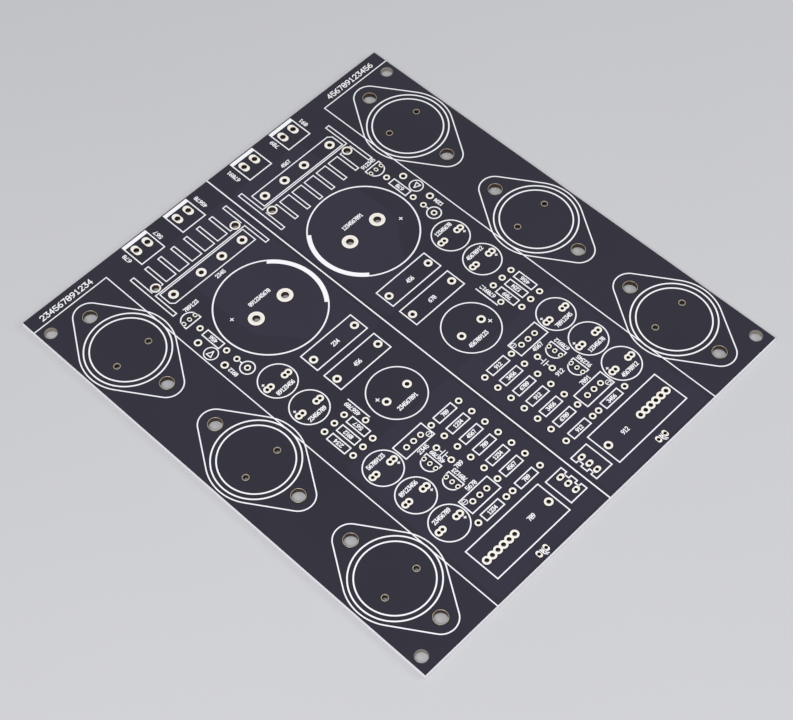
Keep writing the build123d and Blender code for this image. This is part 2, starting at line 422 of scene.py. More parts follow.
class Finish(Enum):
    """The board's finishes."""

    LACQUER = Lacquer()
    RAISED = Lacquer(
        "lacquer_on_copper",
        (0.0150, 0.0132, 0.0270, 1.0),
        (0.0240, 0.0215, 0.0410, 1.0),
        roughness=(0.32, 0.1, 0.16),
    )
    LAMINATE = Laminate()
    # Painted shade: the hole walls take a copy of the laminate about three times darker than the cut edge,
    # standing for the shade in the bores.
    SHADED_BORE_WALL = Laminate("drilled_laminate_painted_shade", (0.24, 0.215, 0.18, 1.0), (0.36, 0.33, 0.285, 1.0))
    # Painted shade: a nearly black copy of the laminate for the ring round each land, standing for the shadow
    # in the lacquer's opening.
    OPENING_SHADE = Laminate(
        "opening_painted_shade", (0.0030, 0.0022, 0.0018, 1.0), (0.0095, 0.0072, 0.0056, 1.0), specular=0.08
    )
    TIN = Tin()
    RIM = Tin("thin_rim", (0.42, 0.37, 0.31, 1.0), (0.27, 0.235, 0.195, 1.0), metallic=0.5)
    # Painted shade: a darker, pinker copy of the tin for the ring on large lands, standing for a shaded
    # groove in the solder.
    SEAM = Tin("land_seam_painted_shade", (0.91, 0.81, 0.745, 1.0), (0.81, 0.70, 0.63, 1.0))
    SHADED_PLATING = ShadedPlating()
    INK = Ink()

    def material(self) -> bpy.types.Material:
        """Return the finish's material, made at the first call."""
        return bpy.data.materials.get(self.value.name) or self.value.material()

    @property
    def slot(self) -> str:
        """Return the record's material slot."""
        return self.value.slot


# Outlines


def circle(x: float, y: float, radius: float, corners: int) -> list[Point]:
    """Return the corners of a round outline, anticlockwise.

    Args:
        x: The middle's place on X.
        y: The middle's place on Y.
        radius: The radius.
        corners: How many corners it has.

    Returns:
        The corners.
    """
    return arc(x, y, radius, 0.0, 360.0 * (corners - 1) / corners, corners - 1)


def arc(x: float, y: float, radius: float, start: float, turn: float, steps: int) -> list[Point]:
    """Return places along an arc.

    Args:
        x: The middle's place on X.
        y: The middle's place on Y.
        radius: The radius.
        start: The first place's angle, in degrees.
        turn: How far the arc turns, in degrees.
        steps: How many steps it takes.

    Returns:
        The places, both ends among them.
    """
    angles = [math.radians(start + turn * i / steps) for i in range(steps + 1)]
    return [(x + radius * math.cos(a), y + radius * math.sin(a)) for a in angles]


def rectangle(x: float, y: float, width: float, length: float, cut: float = 0.0) -> list[Point]:
    """Return the corners of a rectangle, anticlockwise from its lower left.

    Args:
        x: The middle's place on X.
        y: The middle's place on Y.
        width: Its size along X.
        length: Its size along Y.
        cut: How much of the lower left corner is cut off.

    Returns:
        The corners.
    """
    left, right, low, high = x - width / 2, x + width / 2, y - length / 2, y + length / 2
    first = [(left, low + cut), (left + cut, low)] if cut else [(left, low)]
    return first + [(right, low), (right, high), (left, high)]


def holds(shape: Sequence[Point], place: Vector) -> bool:
    """Return whether a convex shape holds a place.

    Args:
        shape: Its corners, anticlockwise.
        place: The place.

    Returns:
        Whether the place is inside.
    """
    sides = zip(shape, [*shape[1:], shape[0]])
    return all((c - a) * (place.y - b) >= (d - b) * (place.x - a) for (a, b), (c, d) in sides)


def spread(count: int, pitch: float) -> list[float]:
    """Return distances spaced evenly about zero.

    Args:
        count: How many there are.
        pitch: How far apart they are.

    Returns:
        The distances.
    """
    return [(i - (count - 1) / 2) * pitch for i in range(count)]


class Lead(Enum):
    """The kinds of lead hole: diameter, then the land's size along X and Y, and what else it sets."""

    SCREW = (3.8, 4.15, 4.15, Finish.RIM)
    CAN_PIN = (1.5, 2.05, 2.05, Finish.RIM)
    TERMINAL = (1.65, 2.27, 3.62)
    HEAT_SINK = (2.1, 3.0, 3.0)
    RECTIFIER = (1.42, 2.9, 2.9)
    RESERVOIR = (2.2, 4.46, 4.46, Finish.TIN, 48)
    SENSOR = (0.78, 1.2, 1.45)
    METER = (1.26, 2.24, 2.24)
    UPRIGHT = (1.03, 1.86, 1.86)
    FILM = (1.2, 2.42, 2.42)
    INPUT = (1.26, 2.4, 2.4)
    COUPLING = (1.26, 2.46, 2.46)
    TEST = (1.03, 1.9, 1.9)
    SMALL = (0.98, 2.1, 2.1)
    TRIO = (1.0, 1.95, 1.95)
    RESISTOR = (1.0, 1.92, 1.92)
    TRIMMER = (0.98, 1.76, 1.76)
    DRIVER = (0.78, 1.5, 1.25)
    CERAMIC = (1.0, 1.9, 1.9)
    PLUG = (0.98, 2.3, 1.55)
    LAMP = (0.95, 1.3, 2.05)


@dataclass(frozen=True)
class Land:
    """A plated land on both faces round one lead hole, or round several in a row along X."""

    centres: tuple[Point, ...]
    hole: float
    width: float
    length: float
    finish: Finish = Finish.TIN
    corners: int = 32
    plating: float = 0.05

    @property
    def straight(self) -> Point:
        """Return half the length of the land's straight sides, along X and Y."""
        return (max(0.0, (self.width - self.length) / 2), max(0.0, (self.length - self.width) / 2))

    @property
    def neck(self) -> float:
        """Return how far the edge can be drawn in before the land parts between its holes or vanishes."""
        pitch = self.centres[1][0] - self.centres[0][0] if len(self.centres) > 1 else 0.0
        return self.width / 2 - pitch / 2 if pitch else min(self.width, self.length) / 2

    @property
    def bore_corners(self) -> int:
        """Return how many corners the drilled hole and its lining have."""
        return 40 if self.hole > 2 else 24

    def outline(self, grow: float = 0.0) -> list[Point]:
        """Return the land's outer edge, anticlockwise.

        Args:
            grow: How far outside the true edge it runs.

        Returns:
            The corners.
        """
        if len(self.centres) == 1:
            return self._oval(grow)
        radius = self.width / 2 + grow
        meet = math.degrees(math.acos((self.centres[1][0] - self.centres[0][0]) / 2 / radius))
        places: list[Point] = []
        for turn, row in ((180.0, self.centres), (0.0, self.centres[::-1])):
            for centre in row:
                start = turn if centre == row[0] else turn + meet
                end = turn + 180.0 if centre == row[-1] else turn + 180.0 - meet
                places += arc(*centre, radius, start, end - start, self.corners // 2)
            places.pop()
        return [p for p, q in zip(places, places[1:] + places[:1]) if math.dist(p, q) > 1e-6]

    def _oval(self, grow: float) -> list[Point]:
        """Return a single land's edge, round or with two straight sides.

        Args:
            grow: How far outside the true edge it runs.

        Returns:
            The corners.
        """
        (x, y), (reach_x, reach_y) = self.centres[0], self.straight
        radius = min(self.width, self.length) / 2 + grow
        places = []
        for i in range(self.corners):
            angle = math.tau * (i + 0.5) / self.corners
            across, along = math.cos(angle), math.sin(angle)
            right = x + radius * across + math.copysign(reach_x, across)
            places.append((right, y + radius * along + math.copysign(reach_y, along)))
        return places

    def bores(self, grow: float = 0.0) -> list[list[Point]]:
        """Return the edges of the land's holes.

        Args:
            grow: How far outside the true edge they run.

        Returns:
            One outline for each hole.
        """
        return [circle(x, y, self.hole / 2 + grow, self.corners) for x, y in self.centres]

    def keep_out(self, margin: float) -> list[Disc]:
        """Return circles that cover the land, for keeping a layer off it.

        Args:
            margin: The gap between layer and land.

        Returns:
            The circles, as X, Y and radius.
        """
        radius = min(self.width, self.length) / 2 + margin
        dx, dy = self.straight
        signs = (-1, 0, 1) if dx or dy else (0,)
        return [(x + sign * dx, y + sign * dy, radius) for x, y in self.centres for sign in signs]


@dataclass(frozen=True)
class Stroke:
    """A printed line of even width."""

    places: tuple[Point, ...]
    width: float
    closed: bool = False
    mitre: float = 0.5

    def spans(self) -> list[list[Point]]:
        """Return the four-cornered spans that make up the line.

        Returns:
            The corners of each span, anticlockwise.
        """
        places = [Vector(place) for place in self.places + self.places[:1] * self.closed]
        ways = [(end - start).normalized() for start, end in zip(places, places[1:])]
        last = len(ways) - 1
        found = []
        for i, way in enumerate(ways):
            before = ways[i - 1] if i or self.closed else None
            after = ways[(i + 1) % len(ways)] if i < last or self.closed else None
            right, left = self._corners(places[i], way, before, -1)
            far_right, far_left = self._corners(places[i + 1], way, after, 1)
            found.append([right, far_right, far_left, left])
        return found

    def _corners(self, place: Vector, way: Vector, other: Vector | None, sign: int) -> list[Point]:
        """Return the corners at one end of a span, mitred where the line bends a little.

        Args:
            place: The end.
            way: The span's direction.
            other: The direction of the span that it meets there, if it meets one.
            sign: 1 at the far end and -1 at the near end.

        Returns:
            The corner on the right and the one on the left.
        """
        half = self.width / 2
        if other is not None and way.dot(other) > self.mitre:
            middle = (way + other).normalized()
            across = Vector((-middle.y, middle.x)) * (half / middle.dot(way))
        else:
            across = Vector((-way.y, way.x)) * half
            place = place + way * (half * sign)
        return [tuple(place - across), tuple(place + across)]

    def box(self) -> tuple[float, float, float, float]:
        """Return the line's least and greatest X, then its least and greatest Y."""
        half = self.width / 2
        across, along = zip(*self.places)
        return (min(across) - half, max(across) + half, min(along) - half, max(along) + half)


# Meshes


def show(name: str, data: bpy.types.ID) -> bpy.types.Object:
    """Put a mesh, a lamp or a camera into the scene.

    Args:
        name: The object's name.
        data: What it shows.

    Returns:
        The object.
    """
    made = bpy.data.objects.new(name, data)
    bpy.context.scene.collection.objects.link(made)
    return made


class Draft:
    """A mesh in the making, in millimetres, whose faces each have a finish."""

    disc_corners: int = 24
    fill_merge: float = 1e-5
    film_merge: float = 1e-4

    def __init__(self) -> None:
        """Start an empty mesh."""
        self.places: list[tuple[float, float, float]] = []
        self.faces: list[tuple[int, ...]] = []
        self.finishes: list[Finish] = []
        self.smooth: list[bool] = []

    def ring(self, outline: Sequence[Point], height: float) -> list[int]:
        """Add an outline's corners at one height.

        Args:
            outline: The corners.
            height: Their height.

        Returns:
            The corners' numbers.
        """
        first = len(self.places)
        self.places += [(x, y, height) for x, y in outline]
        return list(range(first, len(self.places)))

    def band(self, low: Sequence[int], high: Sequence[int], finish: Finish, smooth: bool = False) -> None:
        """Join two closed rings of as many corners.

        Args:
            low: One ring.
            high: The other.
            finish: The faces' finish.
            smooth: Whether the faces shade as one.
        """
        for i in range(len(low)):
            j = (i + 1) % len(low)
            self._face((low[i], low[j], high[j], high[i]), finish, smooth)

    def _face(self, corners: tuple[int, ...], finish: Finish, smooth: bool = False) -> None:
        """Add one face."""
        self.faces.append(corners)
        self.finishes.append(finish)
        self.smooth.append(smooth)

    def plate(
        self,
        outlines: Sequence[Outline],
        inner: Sequence[Outline],
        heights: tuple[float, float],
        finishes: tuple[Finish, Finish, Finish],
        rim: float,
        under: bool = False,
    ) -> None:
        """Add a flat plate with holes and softened edges.

        Args:
            outlines: The plate's edges at full size, the outer ones and the holes.
            inner: The same edges drawn in by the rim's width, round the plate's flat face.
            heights: The heights of its lower and upper face.
            finishes: The finishes of its faces, of its outer edge and of its holes.
            rim: How far below a face its edge starts.
            under: Whether the lower face's edge is softened too.
        """
        low, high = heights
        top = [self.ring(edge, high) for edge in inner]
        upper = [self.ring(edge, high - rim) for edge in outlines]
        lower = [self.ring(edge, low + rim if under else low) for edge in outlines]
        base = [self.ring(edge, low) for edge in inner] if under else lower
        for i, (face, ring_a, ring_b, ring_c) in enumerate(zip(top, upper, lower, base)):
            edge = finishes[2 if i else 1]
            self.band(ring_a, face, edge)
            self.band(ring_b, ring_a, edge)
            if under:
                self.band(ring_c, ring_b, edge)
        self._fill(top, inner, finishes[0])
        self._fill(base, inner if under else outlines, finishes[0])

    def _fill(self, rings: Sequence[Sequence[int]], outlines: Sequence[Outline], finish: Finish) -> None:
        """Fill between an outer edge and its holes.

        Args:
            rings: The numbers of each edge's corners, the outer edge's first.
            outlines: The same edges' places.
            finish: The faces' finish.
        """
        numbers = [number for ring in rings for number in ring]
        owner = [i for i, ring in enumerate(rings) for _ in ring]
        flat = [Vector(place) for outline in outlines for place in outline]
        edges = []
        for outline in outlines:
            first, count = len(edges), len(outline)
            edges += [(first + i, first + (i + 1) % count) for i in range(count)]
        _, _, faces, origins, _, _ = delaunay_2d_cdt(flat, edges, [], 1, self.fill_merge)
        for face in faces:
            corners = [origins[corner][0] for corner in face]
            met = {owner[corner] for corner in corners}
            if len(met) > 1 or met == {0}:
                self._face(tuple(numbers[corner] for corner in corners), finish)

    def film(
        self,
        shapes: Sequence[Outline],
        keep: Sequence[Disc],
        heights: tuple[float, float],
        finish: Finish,
        slope: float = 0.0,
    ) -> None:
        """Add a thin layer, merged where its shapes meet and cut away inside some circles.

        Args:
            shapes: The layer's shapes, anticlockwise.
            keep: The circles, as X, Y and radius.
            heights: The heights of the layer's lower and upper face.
            finish: Its finish.
            slope: How far out its foot stands from its upper edge.
        """
        drawn = [*shapes, *(circle(*disc, self.disc_corners) for disc in keep)]
        flat, outlines = [], []
        for shape in drawn:
            outlines.append(list(range(len(flat), len(flat) + len(shape))))
            flat += [Vector(place) for place in shape]
        places, _, cells, _, _, sources = delaunay_2d_cdt(flat, [], outlines, 1, self.film_merge)
        kept = []
        for cell, source in zip(cells, sources):
            middle = sum((places[i] for i in cell), Vector((0, 0))) / len(cell)
            found = [i for i in source if holds(drawn[i], middle)]
            if found and max(found) < len(shapes):
                kept.append(cell)
        edges = {(cell[i - 1], cell[i]) for cell in kept for i in range(len(cell))}
        rim = sorted((a, b) for a, b in edges if (b, a) not in edges)
        outward = [Vector((0, 0)) for _ in places]
        for a, b in rim:
            way = (places[b] - places[a]).normalized()
            outward[a] += Vector((way.y, -way.x))
            outward[b] += Vector((way.y, -way.x))
        foot = [place + way.normalized() * slope for place, way in zip(places, outward)]
        low, high = (self.ring([tuple(place) for place in at], z) for at, z in zip((foot, places), heights))
        for cell in kept:
            self._face(tuple(high[i] for i in cell), finish)
            self._face(tuple(low[i] for i in reversed(cell)), finish)
        for a, b in rim:
            self._face((low[a], low[b], high[b], high[a]), finish)

    def piece(self, name: str, replaced: Sequence[str] = ()) -> None:
        """Make the mesh a piece of the board.

        Args:
            name: The piece's name.
            replaced: The nodes that it stands for.
        """
        mesh = bpy.data.meshes.new(name)
        mesh.from_pydata([(x * MM, y * MM, z * MM) for x, y, z in self.places], [], self.faces)
        used = list(dict.fromkeys(self.finishes))
        for finish in used:
            mesh.materials.append(finish.material())
        mesh.polygons.foreach_set("material_index", [used.index(finish) for finish in self.finishes])
        mesh.polygons.foreach_set("use_smooth", self.smooth)
        shape = bmesh.new()
        shape.from_mesh(mesh)
        loose = [corner for corner in shape.verts if not corner.link_faces]
        bmesh.ops.delete(shape, geom=loose, context="VERTS")
        bmesh.ops.recalc_face_normals(shape, faces=shape.faces)
        shape.to_mesh(mesh)
        shape.free()
        made = show(name, mesh)
        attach(made, "root")
        used[0].slot
        if replaced:
            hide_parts(*replaced)
        LOG.info("%s: %d faces", name, len(mesh.polygons))


# Printed numbers


@dataclass(frozen=True)
class Number:
    """A printed number in plain stroked figures, fitted to the room that it has."""

    text: str
    x: float
    y: float
    run: float
    height: float
    reading: Reading
    pen: float
    cell_height: float = 1.6
    gap: float = 0.42

    def _figure(self, figure: str) -> list[list[Point]]:
        """Return the lines of one figure, on a cell one wide and 1.6 high.

        Args:
            figure: A digit.

        Returns:
            Its lines.
        """
        round_top = [(0.0, 1.3), (0.25, 1.6), (0.75, 1.6), (1.0, 1.3)]
        round_foot = [(1.0, 0.3), (0.75, 0.0), (0.25, 0.0), (0.0, 0.3)]
        waist_low = [(1.0, 0.6), (0.75, 0.86), (0.25, 0.86), (0.0, 0.6)]
        waist_high = [(0.0, 1.0), (0.25, 0.74), (0.75, 0.74), (1.0, 1.0)]
        shapes = {
            "0": [round_top + round_foot + [(0.0, 1.3)]],
            "1": [[(0.2, 1.3), (0.5, 1.6), (0.5, 0.0)], [(0.2, 0.0), (0.8, 0.0)]],
            "2": [round_top + [(1.0, 1.0), (0.0, 0.0), (1.0, 0.0)]],
            "3": [[(0.0, 1.6), (1.0, 1.6), (0.5, 0.95), (0.8, 0.95), (1.0, 0.7)] + round_foot],
            "4": [[(0.75, 0.0), (0.75, 1.6), (0.0, 0.5), (1.0, 0.5)]],
            "5": [[(1.0, 1.6), (0.1, 1.6), (0.0, 0.9), (0.7, 0.95), (1.0, 0.7)] + round_foot],
            "6": [[(0.85, 1.6), (0.3, 1.3), (0.0, 0.8)] + round_foot[::-1] + waist_low],
            "7": [[(0.0, 1.6), (1.0, 1.6), (0.4, 0.0)]],
            "8": [round_top + waist_high[::-1] + [(0.0, 1.3)], waist_low[::-1] + round_foot + [(0.0, 0.6)]],
            "9": [[(0.15, 0.0), (0.7, 0.3), (1.0, 0.8)] + round_top[::-1] + waist_high],
        }
        return shapes[figure]

    def strokes(self) -> list[Stroke]:
        """Return the number's lines.

        Returns:
            The lines, in the board's frame.
        """
        cells = len(self.text) + (len(self.text) - 1) * self.gap
        step_x = (self.run - self.pen) / cells
        step_y = (self.height - self.pen) / self.cell_height
        turn = Matrix.Rotation(math.radians(self.reading.value), 2)
        found = []
        for i, figure in enumerate(self.text):
            start = i * (1 + self.gap) - cells / 2
            for line in self._figure(figure):
                places = []
                for u, v in line:
                    turned = turn @ Vector(((start + u) * step_x, (v - self.cell_height / 2) * step_y))
                    places.append((self.x + turned.x, self.y + turned.y))
                found.append(Stroke(tuple(places), self.pen))
        return found


# The board and what is laid out on it


@dataclass(frozen=True)
class Blank:
    """The bare rectangle of laminate, read from the frame."""

    width: float
    length: float
    thickness: float
    land_top: float
    ink_top: float
    foot: float = 0.04

    @classmethod
    def from_frame(cls) -> "Blank":
        """Return the blank that the frame holds."""
        low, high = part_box("board")
        size = (high - low) / MM
        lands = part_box("terminal_pads")[1].z / MM
        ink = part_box("division_legend")[1].z / MM
        return cls(size.x, size.y, size.z, lands, ink)

    def from_terminals(self, along: float) -> float:
        """Return the Y of a place at a distance from the terminal edge."""
        return self.length / 2 - along

    def from_inputs(self, along: float) -> float:
        """Return the Y of a place at a distance from the input edge."""
        return along - self.length / 2


@dataclass
class Sheet:
    """What one kind of part puts on the board, with the nodes that its pieces stand for."""

    name: str
    blank: Blank
    land_nodes: tuple[str, ...] = ()
    print_nodes: tuple[str, ...] = ()
    lands: list[Land] = field(default_factory=list)
    strokes: list[Stroke] = field(default_factory=list)

    def by_terminals(self, across: float, along: float, turning: bool = True) -> list["Spot"]:
        """Return a footprint's spots at distances from the centre line and the terminal edge."""
        return self._spots(across, self.blank.from_terminals(along), turning)

    def by_inputs(self, across: float, along: float, turning: bool = True) -> list["Spot"]:
        """Return a footprint's spots at distances from the centre line and the input edge."""
        return self._spots(across, self.blank.from_inputs(along), turning)

    def _spots(self, across: float, y: float, turning: bool) -> list["Spot"]:
        """Return the left spot and the right one, which may be turned about."""
        return [Spot(self, side.value * across, y, turning and side is Side.RIGHT, side) for side in Side]


@dataclass(frozen=True)
class Spot:
    """Where one footprint stands on a sheet, and whether it is turned about by half a turn."""

    sheet: Sheet
    x: float
    y: float
    turned: bool
    side: Side

    def at(self, x: float, y: float) -> Point:
        """Return the board place of a point of the left channel's footprint."""
        sign = -1 if self.turned else 1
        return (self.x + sign * x, self.y + sign * y)

    def beside(self, x: float, y: float) -> Point:
        """Return the board place at a distance from the spot, turned about or not."""
        return (self.x + x, self.y + y)

    def land(self, places: Sequence[Point], lead: Lead) -> None:
        """Add a land round one hole, or round several that it joins."""
        self.sheet.lands.append(Land(tuple(sorted(self.at(*place) for place in places)), *lead.value))

    def row(self, count: int, pitch: float, lead: Lead, shift: float = 0.0, upright: bool = False) -> None:
        """Add a row of separate lands.

        Args:
            count: How many there are.
            pitch: How far apart they are.
            lead: The kind of hole.
            shift: How far beside the spot the row runs.
            upright: Whether it runs along Y.
        """
        for step in spread(count, pitch):
            self.land([(shift, step) if upright else (step, shift)], lead)

    def line(self, places: Sequence[Point], width: float = 0.34, closed: bool = False) -> None:
        """Add a printed line."""
        self.sheet.strokes.append(Stroke(tuple(self.at(*place) for place in places), width, closed))

    def loop(self, places: Sequence[Point], width: float = 0.34) -> None:
        """Add a printed line that ends where it starts."""
        self.line(places, width, True)

    def number(
        self,
        first: int,
        digits: int,
        place: Point,
        size: Point,
        reading: Reading = Reading.ACROSS,
        pen: float = 0.23,
    ) -> None:
        """Add figures that count up from one to nine and round again.

        Args:
            first: Where the counting starts, but for one less in the left channel and one more in the right.
            digits: How many figures there are.
            place: Their middle on the board.
            size: Their run and height.
            reading: The way they run.
            pen: The width of their lines.
        """
        text = "".join(str((first + self.side.value + i) % 9 + 1) for i in range(digits))
        self.sheet.strokes += Number(text, *place, *size, reading, pen).strokes()

    def plus(self, x: float, y: float, size: float) -> None:
        """Add a polarity mark.

        Args:
            x: Its place across the footprint.
            y: Its place along the footprint.
            size: Its reach from end to end.
        """
        reach = size / 2 - 0.12
        self.line([(x - reach, y), (x + reach, y)], 0.25)
        self.line([(x, y - reach), (x, y + reach)], 0.25)


class Kind(ABC):
    """A kind of part: its name, the nodes that its pieces stand for, and how it is laid out."""

    name: str
    land_nodes: tuple[str, ...] = ()
    print_nodes: tuple[str, ...] = ()

    @abstractmethod
    def draw(self, sheet: Sheet) -> None:
        """Lay out the parts.

        Args:
            sheet: The sheet that they go on.
        """

    def sheet(self, blank: Blank) -> Sheet:
        """Return what the parts put on the board.

        Args:
            blank: The board.

        Returns:
            The sheet.
        """
        made = Sheet(self.name, blank, self.land_nodes, self.print_nodes)
        self.draw(made)
        return made


@dataclass(frozen=True)
class PowerTransistors(Kind):
    """Six diamond-shaped metal cans, three down each long edge."""

    name = "transistor"
    print_nodes = ("transistor_legend",)
    inset: float = 13.5
    first: float = 26.5
    last: float = 22.9
    screw_spacing: float = 30.15
    pin_spacing: float = 10.92
    pin_offset: float = -1.9
    can_rings: Pair = (10.05, 11.55)
    ring_pen: float = 0.4
    flange: float = 12.75
    flange_end: float = 4.5

    def draw(self, sheet: Sheet) -> None:
        """Lay out the transistors' screws, pins and outlines.

        Args:
            sheet: The sheet that they go on.
        """
        reach = self.screw_spacing / 2
        slant = math.degrees(math.asin((self.flange - self.flange_end) / reach))
        outline = []
        for turn, end in ((0, reach), (180, -reach)):
            outline += arc(0, 0, self.flange, turn - slant, 2 * slant, 20)
            outline += arc(0, end, self.flange_end, turn + slant, 180 - 2 * slant, 16)
        last = sheet.blank.length - self.last
        for along in (self.first, (self.first + last) / 2, last):
            for spot in sheet.by_terminals(sheet.blank.width / 2 - self.inset, along):
                spot.row(2, self.screw_spacing, Lead.SCREW, upright=True)
                spot.row(2, self.pin_spacing, Lead.CAN_PIN, self.pin_offset)
                spot.loop(outline)
                for radius in self.can_rings:
                    spot.loop(circle(0, 0, radius, 72), self.ring_pen)


@dataclass(frozen=True)
class Divisions(Kind):
    """The printed lines that part the channels and fence off the power strips, and the edge numbers."""

    name = "division"
    print_nodes = ("division_legend",)
    strip_width: float = 25.0
    strip_inset: float = 4.85
    strip_pen: float = 0.3
    centre_pen: float = 0.36
    number_along: float = 2.75
    number_shift: float = 0.3
    number_size: Point = (17.6, 1.9)
    number_pen: float = 0.28

    def draw(self, sheet: Sheet) -> None:
        """Lay out the lines.

        Args:
            sheet: The sheet that they go on.
        """
        edge = (sheet.blank.length - self.centre_pen) / 2
        sheet.strokes.append(Stroke(((0.0, -edge), (0.0, edge)), self.centre_pen))
        top = sheet.blank.from_terminals(self.strip_inset)
        half = sheet.blank.width / 2
        for spot in sheet.by_terminals(0.0, self.number_along, turning=False):
            sign = spot.side.value
            strip, outer = sign * (half - self.strip_width), sign * (half - self.strip_pen / 2)
            sheet.strokes.append(Stroke(((strip, -edge), (strip, top), (outer, top)), self.strip_pen))
            middle = sign * (half - self.strip_width / 2 - self.number_shift)
            spot.number(2, 12, spot.beside(middle, 0), self.number_size, pen=self.number_pen)


@dataclass(frozen=True)
class ScrewTerminals(Kind):
    """Two screw terminals to a channel, with a broad bar where the wires enter."""

    name = "terminal"
    land_nodes = ("terminal_pads",)
    print_nodes = ("terminal_legend",)
    across: Pair = (12.5, 27.45)
    along: float = 3.9
    pitch: float = 3.96
    box_width: float = 8.2
    box_ends: Pair = (0.6, 8.5)
    bar: float = 1.0
    numbers: tuple[tuple[float, float, int], ...] = ((6.2, 4.6, 5), (21.9, 3.0, 3), (33.1, 3.0, 3))
    number_along: float = 4.25

    def draw(self, sheet: Sheet) -> None:
        """Lay out the terminals.

        Args:
            sheet: The sheet that they go on.
        """
        outer, inner = (self.along - end for end in self.box_ends)
        bar, half = outer - self.bar / 2, (self.box_width - self.bar) / 2
        for across in self.across:
            for spot in sheet.by_terminals(across, self.along, turning=False):
                spot.row(2, self.pitch, Lead.TERMINAL)
                spot.loop(rectangle(0, (outer + inner) / 2, self.box_width, outer - inner))
                spot.line([(-half, bar), (half, bar)], self.bar)
        for i, (across, run, digits) in enumerate(self.numbers):
            for spot in sheet.by_terminals(across, self.number_along, turning=False):
                spot.number(31 + i, digits, spot.at(0, 0), (run, 1.3), Reading.UPWARD)


@dataclass(frozen=True)
class HeatSinks(Kind):
    """The finned heat sinks behind the bridge rectifiers, drawn in section."""

    name = "heat_sink"
    land_nodes = ("heat_sink_pads",)
    across: float = 19.8
    along: float = 18.75
    pin_spacing: float = 29.0
    pin_offset: float = 1.75
    reach: float = 16.85
    fin: float = 1.2
    fin_pitch: float = 4.68
    fin_count: int = 6
    fin_end: float = 8.45
    base: Pair = (-0.19, 1.25)
    pen: float = 0.31

    def draw(self, sheet: Sheet) -> None:
        """Lay out the heat sinks.

        Args:
            sheet: The sheet that they go on.
        """
        (low, high), end = self.base, self.fin_end
        outer, inner = self.reach + self.fin / 2, self.reach - self.fin / 2
        comb = [(-outer, end), (-inner, end), (-inner, high)]
        for x in spread(self.fin_count, self.fin_pitch):
            left, right = x - self.fin / 2, x + self.fin / 2
            comb += [(left, high), (left, end), (right, end), (right, high)]
        comb += [(inner, high), (inner, end), (outer, end), (outer, -end), (inner, -end)]
        comb += [(inner, low), (-inner, low), (-inner, -end), (-outer, -end)]
        for spot in sheet.by_terminals(self.across, self.along):
            spot.row(2, self.pin_spacing, Lead.HEAT_SINK, self.pin_offset)
            spot.loop(comb, self.pen)


@dataclass(frozen=True)
class BridgeRectifiers(Kind):
    """The bridge rectifiers, clamped to the heat sinks."""

    name = "rectifier"
    land_nodes = ("rectifier_pads",)
    print_nodes = ("rectifier_legend",)
    across: float = 19.9
    along: float = 18.75
    offset: float = -3.25
    leads: tuple[float, ...] = (-12.5, -2.5, 5.0, 12.5)
    box: Point = (30.2, 5.0)
    corner: float = 1.0
    pen: float = 0.31
    number_offset: Point = (0.7, -7.3)

    def draw(self, sheet: Sheet) -> None:
        """Lay out the rectifiers.

        Args:
            sheet: The sheet that they go on.
        """
        for spot in sheet.by_terminals(self.across, self.along):
            for x in self.leads:
                spot.land([(x, self.offset)], Lead.RECTIFIER)
            spot.loop(rectangle(0, self.offset, *self.box, self.corner), self.pen)
            spot.number(47, 4, spot.at(*self.number_offset), (3.2, 1.3))


@dataclass(frozen=True)
class ReservoirCapacitors(Kind):
    """The two large reservoir capacitors, ringed, with a broad arc by the negative lead."""

    name = "reservoir"
    land_nodes = ("reservoir_pads",)
    print_nodes = ("reservoir_legend",)
    across: float = 17.45
    along: float = 43.6
    pitch: float = 10.5
    radius: float = 15.34
    pen: float = 0.42
    mark_width: float = 1.2
    mark_start: float = -38.0
    mark_turn: float = 86.0
    plus: Point = (-9.9, 4.4)

    def draw(self, sheet: Sheet) -> None:
        """Lay out the capacitors.

        Args:
            sheet: The sheet that they go on.
        """
        middle = self.radius + 0.1 - self.mark_width / 2
        for spot in sheet.by_terminals(self.across, self.along):
            spot.row(2, self.pitch, Lead.RESERVOIR)
            spot.loop(circle(0, 0, self.radius, 96), self.pen)
            spot.line(arc(0, 0, middle, self.mark_start, self.mark_turn, 28), self.mark_width)
            spot.plus(*self.plus, 1.2)
            spot.number(53, 10, spot.beside(0, 4.35), (7.4, 1.35))


def half_moon(turn: float) -> list[Point]:
    """Return the outline of a small transistor: a flat side and a round back.

    Args:
        turn: How far it is turned from having its flat side at the foot, in degrees.

    Returns:
        The corners.
    """
    places = [(-2.6, -1.55), (2.6, -1.55)] + arc(0, -0.4, 2.6, 0, 180, 24)
    spin = Matrix.Rotation(math.radians(turn), 2)
    return [tuple(spin @ Vector(place)) for place in places]


